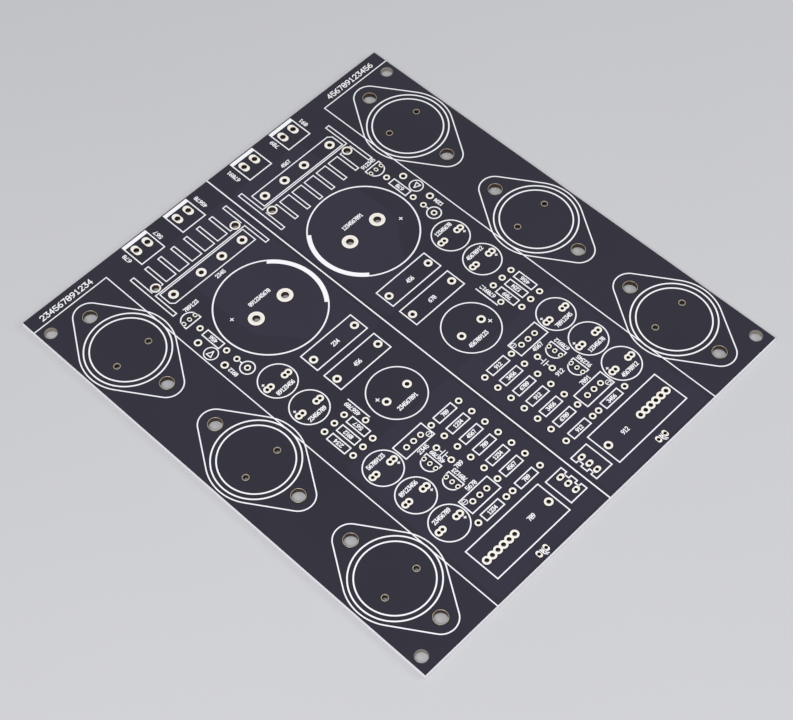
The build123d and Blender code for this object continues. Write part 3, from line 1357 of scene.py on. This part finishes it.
@dataclass(frozen=True)
class BiasParts(Kind):
    """The sensor, resistors and meter points beside the reservoir capacitors."""

    name = "bias"
    across: float = 35.0
    sensor_along: float = 31.1
    sensor_pitch: float = 2.0
    resistor_along: float = 40.25
    resistor: Point = (2.2, 6.3)
    lead_pitch: float = 10.16
    meter_across: float = 38.5
    meter_along: float = 43.25
    meter_radius: float = 1.94
    upright_along: float = 51.2
    upright_pitch: float = 4.0
    upright_radius: float = 2.0

    def draw(self, sheet: Sheet) -> None:
        """Lay out the parts.

        Args:
            sheet: The sheet that they go on.
        """
        for spot in sheet.by_terminals(self.across, self.sensor_along):
            spot.row(3, self.sensor_pitch, Lead.SENSOR)
            spot.loop(half_moon(0))
            shift = 3.2 if spot.side is Side.LEFT else -0.1
            spot.number(61, 6, spot.beside(shift, 3.0), (4.9, 1.3))
        for spot in sheet.by_terminals(self.across, self.resistor_along, turning=False):
            spot.row(2, self.lead_pitch, Lead.RESISTOR, upright=True)
            spot.loop(rectangle(0, 0, *self.resistor))
            spot.number(67, 3, spot.at(0, 0), (2.6, 1.25), Reading.UPWARD)
        for spot in sheet.by_terminals(self.meter_across, self.meter_along, turning=False):
            spot.row(2, self.lead_pitch, Lead.METER, upright=True)
            spot.loop(circle(0, 0.1, self.meter_radius, 40), 0.31)
            tip = -0.9 * spot.side.value
            spot.loop([(-tip, 0.9), (-tip, -0.7), (tip, 0.1)], 0.3)
            spot.number(71, 4, spot.at(0, -8.3), (3.0, 1.25), Reading.UPWARD)
        foot = -self.upright_pitch / 2
        for spot in sheet.by_terminals(self.across, self.upright_along, turning=False):
            spot.row(2, self.upright_pitch, Lead.UPRIGHT, upright=True)
            spot.loop(circle(0, foot, self.upright_radius, 40))
            spot.line([(0, -foot), (0, foot + self.upright_radius)])


@dataclass(frozen=True)
class FilmCapacitors(Kind):
    """Two film capacitors to a channel, and the larger input capacitor by the input edge."""

    name = "film"
    print_nodes = ("film_legend",)
    across: float = 14.0
    along: Pair = (63.8, 72.4)
    pitch: float = 15.0
    box: Point = (18.3, 6.2)
    input_across: float = 11.25
    input_along: float = 10.2
    input_first_pitch: float = 12.5
    input_step: float = 2.0
    input_count: int = 6
    input_box: Point = (26.2, 10.6)

    def draw(self, sheet: Sheet) -> None:
        """Lay out the capacitors.

        Args:
            sheet: The sheet that they go on.
        """
        for i, along in enumerate(self.along):
            for spot in sheet.by_terminals(self.across, along):
                spot.row(2, self.pitch, Lead.FILM)
                spot.loop(rectangle(0, 0, *self.box))
                spot.number(83 + 2 * i, 3, spot.beside(0.2 - 0.5 * i, -0.25), (2.4, 1.4))
        row = [(-self.input_first_pitch - i * self.input_step, 0) for i in range(self.input_count)]
        for spot in sheet.by_inputs(self.input_across, self.input_along):
            spot.land([(0, 0)], Lead.INPUT)
            spot.land(row, Lead.INPUT)
            spot.loop(rectangle(row[-1][0] / 2, 0, *self.input_box))
            spot.number(97, 3, spot.at(-6.2, 0.2), (2.3, 1.4))


@dataclass(frozen=True)
class CouplingCapacitors(Kind):
    """The output coupling capacitors, with a test land beside each."""

    name = "coupling"
    across: float = 14.0
    along: float = 59.5
    pitch: float = 7.5
    radius: float = 8.03
    test_across: float = 25.4
    bar_across: float = 24.0
    bar: float = 7.6

    def draw(self, sheet: Sheet) -> None:
        """Lay out the capacitors.

        Args:
            sheet: The sheet that they go on.
        """
        for spot in sheet.by_inputs(self.across, self.along):
            spot.row(2, self.pitch, Lead.COUPLING)
            spot.loop(circle(0, 0, self.radius, 64))
            spot.plus(-5.0, 2.05, 1.3)
            shift = 0.0 if spot.side is Side.LEFT else -1.4
            spot.number(101, 9, spot.beside(shift, -3.8), (6.8, 1.35))
        for spot in sheet.by_inputs(self.test_across, self.along, turning=False):
            spot.land([(0, 0)], Lead.TEST)
            spot.number(103, 6, spot.at(0.1, 4.8), (5.1, 1.3), Reading.UPWARD)
        for spot in sheet.by_inputs(self.bar_across, self.along, turning=False):
            spot.line([(0, 0), (0, self.bar)])


@dataclass(frozen=True)
class SmallCapacitors(Kind):
    """Five small capacitors to a channel, drilled for two lead spacings."""

    name = "small_capacitor"
    across: float = 32.45
    along: tuple[float, ...] = (84.2, 72.6, 46.4, 35.1, 23.8)
    pitches: Pair = (5.0, 7.5)
    radius: float = 5.25
    upper: int = 2
    plus: tuple[Point, Point] = ((3.8, -1.7), (-3.6, 1.7))
    number_drop: Pair = (2.7, -2.85)

    def draw(self, sheet: Sheet) -> None:
        """Lay out the capacitors.

        Args:
            sheet: The sheet that they go on.
        """
        near, far = (pitch / 2 for pitch in self.pitches)
        for i, along in enumerate(self.along):
            plus, drop = self.plus[i < self.upper], self.number_drop[i < self.upper]
            for spot in sheet.by_inputs(self.across, along):
                for sign in (-1, 1):
                    spot.land([(sign * near, 0), (sign * far, 0)], Lead.SMALL)
                spot.loop(circle(0, 0, self.radius, 56))
                spot.plus(*plus, 0.85)
                spot.number(107 + 3 * i, 8, spot.at(0, drop), (5.9, 1.35))


@dataclass(frozen=True)
class Resistors(Kind):
    """The lying resistors: three side by side, seven in a ladder, and one beside the last rung."""

    name = "resistor"
    trio_across: float = 31.5
    trio_along: float = 59.5
    trio_step: float = 3.5
    ladder_across: float = 10.0
    ladder_first: float = 46.4
    ladder_step: float = 4.53
    ladder_count: int = 6
    last_rung: float = 18.7
    spare_across: float = 22.45
    pitch: float = 10.16
    box: Point = (6.35, 2.3)
    figure: float = 0.75

    def draw(self, sheet: Sheet) -> None:
        """Lay out the resistors.

        Args:
            sheet: The sheet that they go on.
        """
        for i, step in enumerate(spread(3, self.trio_step)):
            for spot in sheet.by_inputs(self.trio_across + step, self.trio_along, turning=False):
                spot.row(2, self.pitch, Lead.TRIO, upright=True)
                spot.loop(rectangle(0, 0, *reversed(self.box)))
                spot.number(131 + 3 * i, 3 + i % 2, spot.at(0, 0.1), (2.9, 1.25), Reading.UPWARD)
        rungs = [self.ladder_first - i * self.ladder_step for i in range(self.ladder_count)]
        lying = [(self.ladder_across, along) for along in rungs + [self.last_rung]]
        for i, (across, along) in enumerate(lying + [(self.spare_across, self.last_rung)]):
            digits = 4 if i % 3 else 3
            for spot in sheet.by_inputs(across, along, turning=False):
                spot.row(2, self.pitch, Lead.RESISTOR)
                spot.loop(rectangle(0, 0, *self.box))
                spot.number(151 + 3 * i, digits, spot.at(0, 0), (self.figure * digits, 1.25))


@dataclass(frozen=True)
class Trimmers(Kind):
    """Two trimmers to a channel, each with its screw marked in a corner."""

    name = "trimmer"
    across: float = 21.5
    along: Pair = (46.4, 23.8)
    pitch: float = 2.54
    box: Point = (10.25, 4.7)
    screws: tuple[Point, Point] = ((4.15, -1.35), (-4.05, 1.3))
    screw_radius: float = 0.72
    slot: float = 0.45
    screw_pen: float = 0.2
    numbers: tuple[Point, Point] = ((-0.1, -3.4), (0.5, 3.45))

    def draw(self, sheet: Sheet) -> None:
        """Lay out the trimmers.

        Args:
            sheet: The sheet that they go on.
        """
        for i, (along, (x, y)) in enumerate(zip(self.along, self.screws)):
            for spot in sheet.by_inputs(self.across, along):
                spot.row(3, self.pitch, Lead.TRIMMER)
                spot.loop(rectangle(0, 0, *self.box))
                spot.loop(circle(x, y, self.screw_radius, 24), self.screw_pen)
                spot.line([(x - self.slot, y), (x + self.slot, y)], self.screw_pen)
                spot.number(191 + 3 * i, 4, spot.beside(*self.numbers[i]), (3.4, 1.35))


@dataclass(frozen=True)
class Drivers(Kind):
    """Two small transistors to a channel, and a ceramic capacitor beside them."""

    name = "driver"
    across: float = 23.5
    along: Pair = (38.9, 31.3)
    pitch: float = 2.0
    ceramic_across: float = 19.0
    ceramic_along: float = 38.35
    ceramic_pitch: float = 5.08
    plate: float = 0.95
    plate_gap: float = 0.4
    ceramic_pen: float = 0.25

    def draw(self, sheet: Sheet) -> None:
        """Lay out the parts.

        Args:
            sheet: The sheet that they go on.
        """
        for i, along in enumerate(self.along):
            for spot in sheet.by_inputs(self.across, along, turning=False):
                spot.row(3, self.pitch, Lead.DRIVER, upright=True)
                spot.loop(half_moon(90))
                spot.number(211 + 3 * i, 6, spot.at(2.75, 0), (4.7, 1.3), Reading.UPWARD)
        for spot in sheet.by_inputs(self.ceramic_across, self.ceramic_along, turning=False):
            spot.row(2, self.ceramic_pitch, Lead.CERAMIC, upright=True)
            for y in spread(2, self.ceramic_pitch):
                near = math.copysign(self.plate_gap, y)
                spot.line([(-self.plate, near), (self.plate, near)], self.ceramic_pen)
                spot.line([(0, near), (0, y)], self.ceramic_pen)
            spot.number(223, 3, spot.at(0.35, -4.8), (2.5, 1.35))


@dataclass(frozen=True)
class InputPlugs(Kind):
    """The three-pin input plugs, and the indicator lamps at the input edge."""

    name = "input_plug"
    across: float = 4.0
    along: float = 10.2
    pitch: float = 2.54
    box_across: float = 4.75
    box: Point = (5.8, 8.5)
    notch_depth: float = 0.9
    notches: tuple[Point, ...] = ((0.9, 2.45), (-2.4, -1.1))
    lamp_across: float = 22.5
    lamp_along: float = 2.2
    lamp_pen: float = 0.28

    def draw(self, sheet: Sheet) -> None:
        """Lay out the plugs and lamps.

        Args:
            sheet: The sheet that they go on.
        """
        half_width, half_length = self.box[0] / 2, self.box[1] / 2
        for spot in sheet.by_inputs(self.across, self.along, turning=False):
            spot.row(3, self.pitch, Lead.PLUG, upright=True)
        for spot in sheet.by_inputs(self.box_across, self.along, turning=False):
            inward = -spot.side.value
            edge, deep = inward * half_width, inward * (half_width - self.notch_depth)
            outline = [(edge, half_length), (-edge, half_length), (-edge, -half_length), (edge, -half_length)]
            for low, high in reversed(self.notches):
                outline += [(edge, low), (deep, low), (deep, high), (edge, high)]
            spot.loop(outline)
        for spot in sheet.by_inputs(self.lamp_across, self.lamp_along, turning=False):
            spot.row(2, self.pitch, Lead.LAMP)
            spot.loop([(-0.3, 0.6), (-0.3, -0.6), (0.26, 0)], self.lamp_pen)
            spot.line([(0.4, 0.65), (0.4, -0.65)], self.lamp_pen)
            for shift in (-0.1, 0.45):
                spot.line([(shift - 0.15, -0.85), (shift + 0.25, -1.45)], self.lamp_pen)


@dataclass(frozen=True)
class Drilling:
    """The drilled blank itself, with softened edges and bare corner screw holes."""

    corner_hole: float = 3.5
    hole_corners: int = 48
    side_inset: float = 3.0
    terminal_inset: float = 8.0
    input_inset: float = 4.15
    rim: float = 0.06
    hole_rim_share: float = 0.6

    def build(self, blank: Blank, sheets: Sequence[Sheet]) -> None:
        """Build the drilled board.

        Args:
            blank: The board.
            sheets: What is laid out on it, for the lead holes.
        """
        x = blank.width / 2 - self.side_inset
        rows = (blank.from_terminals(self.terminal_inset), blank.from_inputs(self.input_inset))
        radius = self.corner_hole / 2
        holes = [(side.value * x, y, radius, self.hole_corners) for side in Side for y in rows]
        for land in (land for sheet in sheets for land in sheet.lands):
            radius = land.hole / 2 + land.plating
            holes += [(x, y, radius, land.bore_corners) for x, y in land.centres]
        grow = self.rim * self.hole_rim_share
        full = [rectangle(0, 0, blank.width, blank.length)] + [circle(*hole) for hole in holes]
        flat = [rectangle(0, 0, blank.width - 2 * self.rim, blank.length - 2 * self.rim)]
        flat += [circle(x, y, radius + grow, corners) for x, y, radius, corners in holes]
        draft = Draft()
        # The holes' walls take the darker copy of the laminate: painted shade in the bores.
        finishes = (Finish.LACQUER, Finish.LAMINATE, Finish.SHADED_BORE_WALL)
        draft.plate(full, flat, (blank.foot, blank.thickness), finishes, self.rim, under=True)
        draft.piece("printed_board", ["board"])


@dataclass(frozen=True)
class CopperPours:
    """The broad fields of copper that lift the lacquer a little on the printed face."""

    rise: float = 0.022
    foot: float = 0.012
    slope: float = 0.36
    bend: float = 1.6
    bend_steps: int = 8
    gap: float = 0.5
    fields: tuple[tuple[Point, ...], ...] = (
        ((39.2, -71.9), (1.4, -71.9), (1.4, -20.1), (39.2, -20.1)),
        ((10.0, 5.0), (1.4, 5.0), (1.4, 64.0), (26.6, 64.0), (26.6, 26.5)),
    )

    def build(self, blank: Blank, sheets: Sequence[Sheet]) -> None:
        """Build the fields of both channels.

        Args:
            blank: The board.
            sheets: What is laid out on it, for the lands that the copper stays clear of.
        """
        lands = [land for sheet in sheets for land in sheet.lands]
        keep = [ring for land in lands for ring in land.keep_out(self.gap)]
        shapes = []
        for corners in self.fields:
            left = self._rounded([(-across, along) for across, along in corners])
            shapes += [left, [(-x, y) for x, y in reversed(left)]]
        draft = Draft()
        level = blank.thickness
        draft.film(shapes, keep, (level - self.foot, level + self.rise), Finish.RAISED, self.slope)
        draft.piece("copper_pours")

    def _rounded(self, corners: Sequence[Point]) -> list[Point]:
        """Return an outline with its corners rounded.

        Args:
            corners: The outline's corners.

        Returns:
            The rounded outline.
        """
        found = []
        for i, corner in enumerate(corners):
            here = Vector(corner)
            start = here + (Vector(corners[i - 1]) - here).normalized() * self.bend
            end = here + (Vector(corners[(i + 1) % len(corners)]) - here).normalized() * self.bend
            for step in range(self.bend_steps + 1):
                share = step / self.bend_steps
                found.append(tuple(start.lerp(here, share).lerp(here.lerp(end, share), share)))
        return found


@dataclass(frozen=True)
class Press:
    """Turns what each kind of part needs into lands, hole linings and print."""

    dome: float = 0.3
    dome_share: float = 0.36
    neck_share: float = 0.8
    dome_fall: float = 0.035
    lip: float = 0.06
    opening: float = 0.18
    opening_crown: float = 0.01
    opening_rise: float = 0.004
    seamed: float = 4.3
    seam: float = 1.48
    seam_width: float = 0.2
    seam_crown: float = 0.05
    seam_rise: float = 0.004
    lining_foot: float = 0.01
    lining_rise: float = 0.02
    ink_gap: float = 0.19
    ink_step: float = 0.001

    def build(self, sheets: Sequence[Sheet]) -> None:
        """Build every kind's pieces.

        Args:
            sheets: What is laid out on the board.
        """
        keep = [disc for sheet in sheets for land in sheet.lands for disc in land.keep_out(self.ink_gap)]
        for i, sheet in enumerate(sheets):
            if sheet.lands:
                self._lands(sheet)
                self._linings(sheet)
            if sheet.strokes:
                self._ink(sheet, keep, sheet.blank.ink_top - i * self.ink_step)

    def _lands(self, sheet: Sheet) -> None:
        """Build the lands of one kind of part, on both faces.

        Args:
            sheet: What the kind needs.
        """
        draft, blank = Draft(), sheet.blank
        for land in sheet.lands:
            seamed = land.width > self.seamed
            top = blank.land_top - (self.seam_rise if seamed else 0.0)
            slant = self.dome_share * (min(land.width, land.length) - land.hole) / 2
            slant = min(self.dome, slant, land.neck * self.neck_share)
            full = [land.outline()] + land.bores()
            flat = [land.outline(-slant)] + land.bores(min(self.lip, slant))
            finishes = (land.finish,) * 3
            draft.plate(full, flat, (blank.thickness, top), finishes, self.dome_fall)
            draft.plate(full, flat, (blank.foot, 0.0), finishes, -self.dome_fall / 2)
            self._shaded_opening(draft, land, blank.thickness)
            if seamed:
                self._seam(draft, land, top, blank.land_top)
        draft.piece(f"{sheet.name}_lands", sheet.land_nodes)

    def _shaded_opening(self, draft: Draft, land: Land, level: float) -> None:
        """Add the ring round a land where the lacquer stops, coloured nearly black as painted shade.

        Args:
            draft: The mesh that it goes into.
            land: The land.
            level: The height of the laminate's face.
        """
        half, rise = self.opening / 2, self.opening_rise
        rings = [land.outline(self.opening), land.outline()]
        crown = [land.outline(half + side) for side in (self.opening_crown, -self.opening_crown)]
        draft.plate(rings, crown, (level - rise, level + rise), (Finish.OPENING_SHADE,) * 3, rise)

    def _seam(self, draft: Draft, land: Land, low: float, high: float) -> None:
        """Add the ring that stands on a large land, darker and pinker than the tin as painted shade of a
        groove in the solder.

        Args:
            draft: The mesh that it goes into.
            land: The land.
            low: The height of the land's face.
            high: The height of the ring's top.
        """
        rings, crown = (
            [circle(*land.centres[0], self.seam + side, land.corners) for side in (reach, -reach)]
            for reach in (self.seam_width / 2, self.seam_crown)
        )
        draft.plate(rings, crown, (low, high), (Finish.SEAM,) * 3, self.seam_rise)

    def _linings(self, sheet: Sheet) -> None:
        """Build the plated linings of one kind's holes.

        Args:
            sheet: What the kind needs.
        """
        # The linings take the brown copper finish darkened as painted shade of the bores.
        draft, finish = Draft(), Finish.SHADED_PLATING
        levels = (self.lining_foot, sheet.blank.thickness + self.lining_rise)
        for land, (x, y) in ((land, centre) for land in sheet.lands for centre in land.centres):
            walls = [circle(x, y, land.hole / 2 + wall, land.bore_corners) for wall in (land.plating, 0.0)]
            (foot_out, foot_in), (top_out, top_in) = (
                [draft.ring(wall, level) for wall in walls] for level in levels
            )
            draft.band(foot_out, top_out, finish, True)
            draft.band(top_in, foot_in, finish, True)
            draft.band(top_out, top_in, finish)
            draft.band(foot_in, foot_out, finish)
        draft.piece(f"{sheet.name}_hole_linings")

    def _ink(self, sheet: Sheet, keep: Sequence[Disc], top: float) -> None:
        """Build the print of one kind of part.

        Args:
            sheet: What the kind needs.
            keep: The circles that ink keeps off.
            top: The height of the ink's top.
        """
        boxes = [stroke.box() for stroke in sheet.strokes]
        near = [
            (x, y, r)
            for x, y, r in keep
            if any(a < x + r and x - r < b and c < y + r and y - r < d for a, b, c, d in boxes)
        ]
        draft = Draft()
        spans = [span for stroke in sheet.strokes for span in stroke.spans()]
        draft.film(spans, near, (sheet.blank.thickness, top), Finish.INK)
        draft.piece(f"{sheet.name}_print", sheet.print_nodes)


# The studio


@dataclass(frozen=True)
class Camera:
    """The camera, at the photograph's viewing angle."""

    target: tuple[float, float, float] = (-6.8, -6.4, 1.6)
    azimuth: float = -44.83
    elevation: float = 55.95
    roll: float = -1.367
    distance: float = 504.9
    focal_share: float = 2.4645
    sensor: float = 36.0
    clip_start: float = 0.01

    def build(self) -> None:
        """Build the camera and make it the scene's."""
        lens = bpy.data.cameras.new("photo_camera")
        lens.sensor_width = self.sensor
        lens.sensor_fit = "HORIZONTAL"
        lens.lens = self.sensor * self.focal_share
        lens.clip_start = self.clip_start
        made = show("photo_camera", lens)
        around, up = math.radians(self.azimuth), math.radians(self.elevation)
        back = Vector((math.sin(around) * math.cos(up), -math.cos(around) * math.cos(up), math.sin(up)))
        spin = back.to_track_quat("Z", "Y").to_matrix() @ Matrix.Rotation(math.radians(self.roll), 3, "Z")
        where = (Vector(self.target) + back * self.distance) * MM
        made.matrix_world = Matrix.Translation(where) @ spin.to_4x4()
        bpy.context.scene.camera = made


@dataclass(frozen=True)
class Lamp:
    """One soft lamp that faces the board."""

    name: str
    place: tuple[float, float, float]
    size: float
    power: float

    def build(self) -> None:
        """Build the lamp."""
        light = bpy.data.lights.new(self.name, "AREA")
        light.shape = "DISK"
        light.size = self.size * MM
        light.energy = self.power
        made = show(self.name, light)
        where = Vector(self.place) * MM
        made.matrix_world = Matrix.Translation(where) @ where.to_track_quat("Z", "Y").to_matrix().to_4x4()


@dataclass(frozen=True)
class Room:
    """The pale floor, the soft light and the even surroundings."""

    floor: float = -0.03
    floor_reach: float = 2500.0
    sky: float = 0.6
    air: Colour = (0.96, 0.97, 1.0, 1.0)
    lamps: tuple[Lamp, ...] = (
        Lamp("key_lamp", (-420.0, -180.0, 620.0), 420.0, 2.9),
        Lamp("fill_lamp", (380.0, -420.0, 420.0), 380.0, 1.2),
    )

    def build(self) -> None:
        """Build the floor, the lamps and the surroundings."""
        mesh = bpy.data.meshes.new("studio_floor")
        corners = rectangle(0, 0, 2 * self.floor_reach, 2 * self.floor_reach)
        mesh.from_pydata([(x * MM, y * MM, self.floor * MM) for x, y in corners], [], [(0, 1, 2, 3)])
        mesh.materials.append(Studio().material())
        floor = show("studio_floor", mesh)
        for lamp in self.lamps:
            lamp.build()
        world = bpy.data.worlds.new("studio_air")
        world.use_nodes = True
        background = world.node_tree.nodes["Background"]
        background.inputs["Color"].default_value = self.air
        background.inputs["Strength"].default_value = self.sky
        bpy.context.scene.world = world


def main() -> None:
    """Build the dressed board and the studio."""
    logging.basicConfig(level=logging.INFO, format="%(message)s")
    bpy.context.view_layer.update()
    blank = Blank.from_frame()
    kinds = (
        PowerTransistors(), Divisions(), ScrewTerminals(), HeatSinks(), BridgeRectifiers(),
        ReservoirCapacitors(), BiasParts(), FilmCapacitors(), CouplingCapacitors(), SmallCapacitors(),
        Resistors(), Trimmers(), Drivers(), InputPlugs(),
    )
    sheets = [kind.sheet(blank) for kind in kinds]
    Drilling().build(blank, sheets)
    CopperPours().build(blank, sheets)
    Press().build(sheets)
    Camera().build()
    Room().build()
    bpy.context.scene.view_settings.view_transform = "Standard"


if __name__ == "__main__":
    main()
